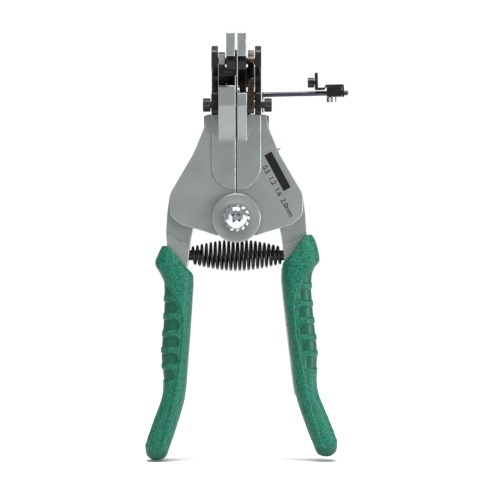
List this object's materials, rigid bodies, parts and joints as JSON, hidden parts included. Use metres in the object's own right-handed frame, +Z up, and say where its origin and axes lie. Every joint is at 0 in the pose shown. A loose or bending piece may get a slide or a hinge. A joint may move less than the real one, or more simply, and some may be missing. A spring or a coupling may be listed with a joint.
{
  "type": "wire stripper",
  "caption": "Hand wire stripper with two frame halves, squeeze handles, a gripping jaw, notched stripping blades, a barrel spring and a sliding wire-length stop.",
  "frame": {"origin": "on the main pivot's axis, at the flat back face of the pivot nut", "axes": "+Z up the tool from the grips to the jaws, -Y to the front, +X towards the blades and the wire stop"},
  "size_m": [0.0855, 0.026, 0.1798],
  "materials": {
    "casting": "grey enamel on die casting, satin",
    "black_steel": "black oxide steel, oiled",
    "chrome": "bright chrome plate",
    "tool_steel": "hardened tool steel, bronze temper colour",
    "spring_steel": "dark oil-tempered spring wire",
    "grip": "green pebbled vinyl"
  },
  "bodies": {
    "pivot": {"pivot_bolt": "chrome", "toothed_washer": "chrome", "pivot_cap": "casting", "pivot_sleeve": "tool_steel", "pivot_nut": "black_steel", "handle_spring": "spring_steel"},
    "left_frame_half": {"left_frame": "casting", "left_back_plate": "black_steel", "left_back_screw_lower": "black_steel", "left_back_screw_upper": "black_steel", "left_lower_cheek": "black_steel", "left_cheek_screw": "black_steel", "left_jaw_pin": "tool_steel", "left_pin_clip": "spring_steel", "left_jaw_spring": "spring_steel", "left_spring_rivet": "tool_steel"},
    "left_jaw": {"left_upper_jaw": "casting", "left_upper_cheek": "black_steel", "left_jaw_screw": "black_steel", "upper_gripper": "black_steel"},
    "left_lever": {"left_handle": "casting", "left_grip": "grip", "left_spring_peg": "black_steel"},
    "right_frame_half": {"right_frame": "casting", "right_back_plate": "black_steel", "right_back_screw_lower": "black_steel", "right_back_screw_upper": "black_steel", "right_lower_cheek": "black_steel", "right_cheek_screw": "black_steel", "right_jaw_pin": "tool_steel", "right_pin_clip": "spring_steel", "right_jaw_spring": "spring_steel", "right_spring_rivet": "tool_steel", "lower_blade": "tool_steel", "stop_rod": "spring_steel"},
    "right_jaw": {"right_upper_jaw": "casting", "right_upper_cheek": "black_steel", "right_jaw_screw": "black_steel", "upper_blade": "tool_steel"},
    "right_lever": {"right_handle": "casting", "right_grip": "grip", "right_spring_peg": "black_steel"},
    "stop": {"stop_block": "black_steel", "stop_plate": "black_steel", "stop_pad": "black_steel"},
    "stop_screw": {"stop_lock_screw": "chrome"}
  },
  "joints": [
    {"name": "frame_spread", "type": "hinge", "parent": "pivot", "child": "left_frame_half", "pos_m": [0, 0, 0], "axis": [0, -1, 0], "range_deg": [0, 9], "stiffness_Nm_per_rad": 2, "springref_deg": -17.19},
    {"name": "right_spread", "type": "hinge", "parent": "pivot", "child": "right_frame_half", "pos_m": [0, 0, 0], "axis": [0, 1, 0], "range_deg": [0, 9]},
    {"name": "handle_squeeze", "type": "hinge", "parent": "left_frame_half", "child": "left_lever", "pos_m": [0, 0, 0], "axis": [0, -1, 0], "range_deg": [0, 5.5], "stiffness_Nm_per_rad": 2, "springref_deg": -17.19, "deforming": ["handle_spring"]},
    {"name": "right_squeeze", "type": "hinge", "parent": "right_frame_half", "child": "right_lever", "pos_m": [0, 0, 0], "axis": [0, 1, 0], "range_deg": [0, 5.5]},
    {"name": "left_jaw_close", "type": "hinge", "parent": "left_frame_half", "child": "left_jaw", "pos_m": [0, -0.007, 0.052], "axis": [1, 0, 0], "range_deg": [0, 18.01], "deforming": ["left_jaw_spring"]},
    {"name": "right_jaw_close", "type": "hinge", "parent": "right_frame_half", "child": "right_jaw", "pos_m": [0, -0.007, 0.052], "axis": [1, 0, 0], "range_deg": [0, 18.01], "deforming": ["right_jaw_spring"]},
    {"name": "stop_slide", "type": "slide", "parent": "right_frame_half", "child": "stop", "axis": [-0.9998, 0, -0.0218], "range_m": [0, 0.018]},
    {"name": "stop_screw_turn", "type": "hinge", "parent": "stop", "child": "stop_screw", "pos_m": [0.03996, -0.0186, 0.04934], "axis": [-0.0218, 0, 0.9998], "range_deg": [0, 180]}
  ],
  "couplings": [
    {"joint": "right_spread", "follows": "frame_spread", "ratio": 1},
    {"joint": "right_squeeze", "follows": "handle_squeeze", "ratio": 1},
    {"joint": "left_jaw_close", "follows": "handle_squeeze", "ratio": 3.2727},
    {"joint": "right_jaw_close", "follows": "handle_squeeze", "ratio": 3.2727}
  ]
}
